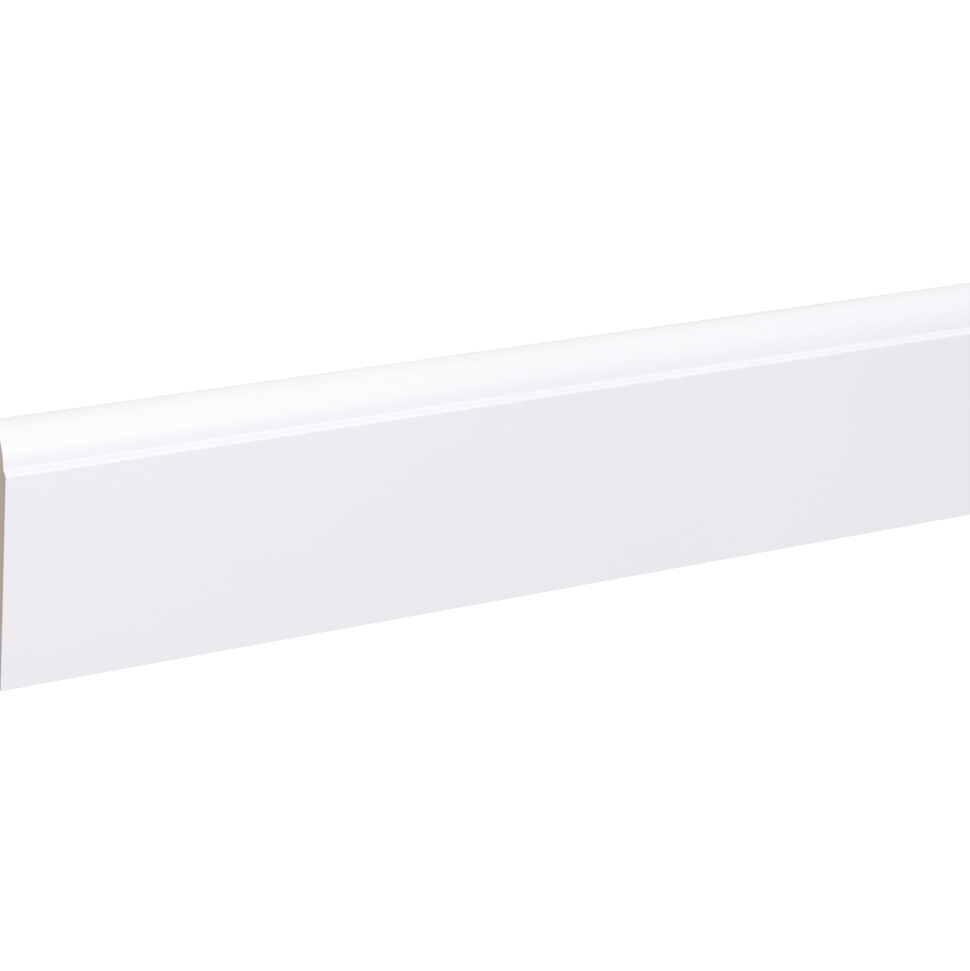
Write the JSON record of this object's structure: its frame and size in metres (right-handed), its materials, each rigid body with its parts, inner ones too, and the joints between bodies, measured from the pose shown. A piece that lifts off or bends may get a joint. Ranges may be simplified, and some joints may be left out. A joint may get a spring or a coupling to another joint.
{
  "type": "skirting board length",
  "caption": "Straight length of white-faced MDF skirting board with a flat face and a stepped, rounded and bevelled moulding along its top edge.",
  "frame": {"origin": "middle of the back face, which the board lies on", "axes": "+X along the length, +Y towards the moulded top edge, +Z out of the white face, away from the wall"},
  "size_m": [2.4, 0.095, 0.015],
  "materials": {
    "white_coated_mdf": "white satin coat on the face, moulding, top and foot; raw brown fibreboard on the back and the sawn ends"
  },
  "bodies": {
    "root": {"skirting_board": "white_coated_mdf"}
  },
  "joints": []
}
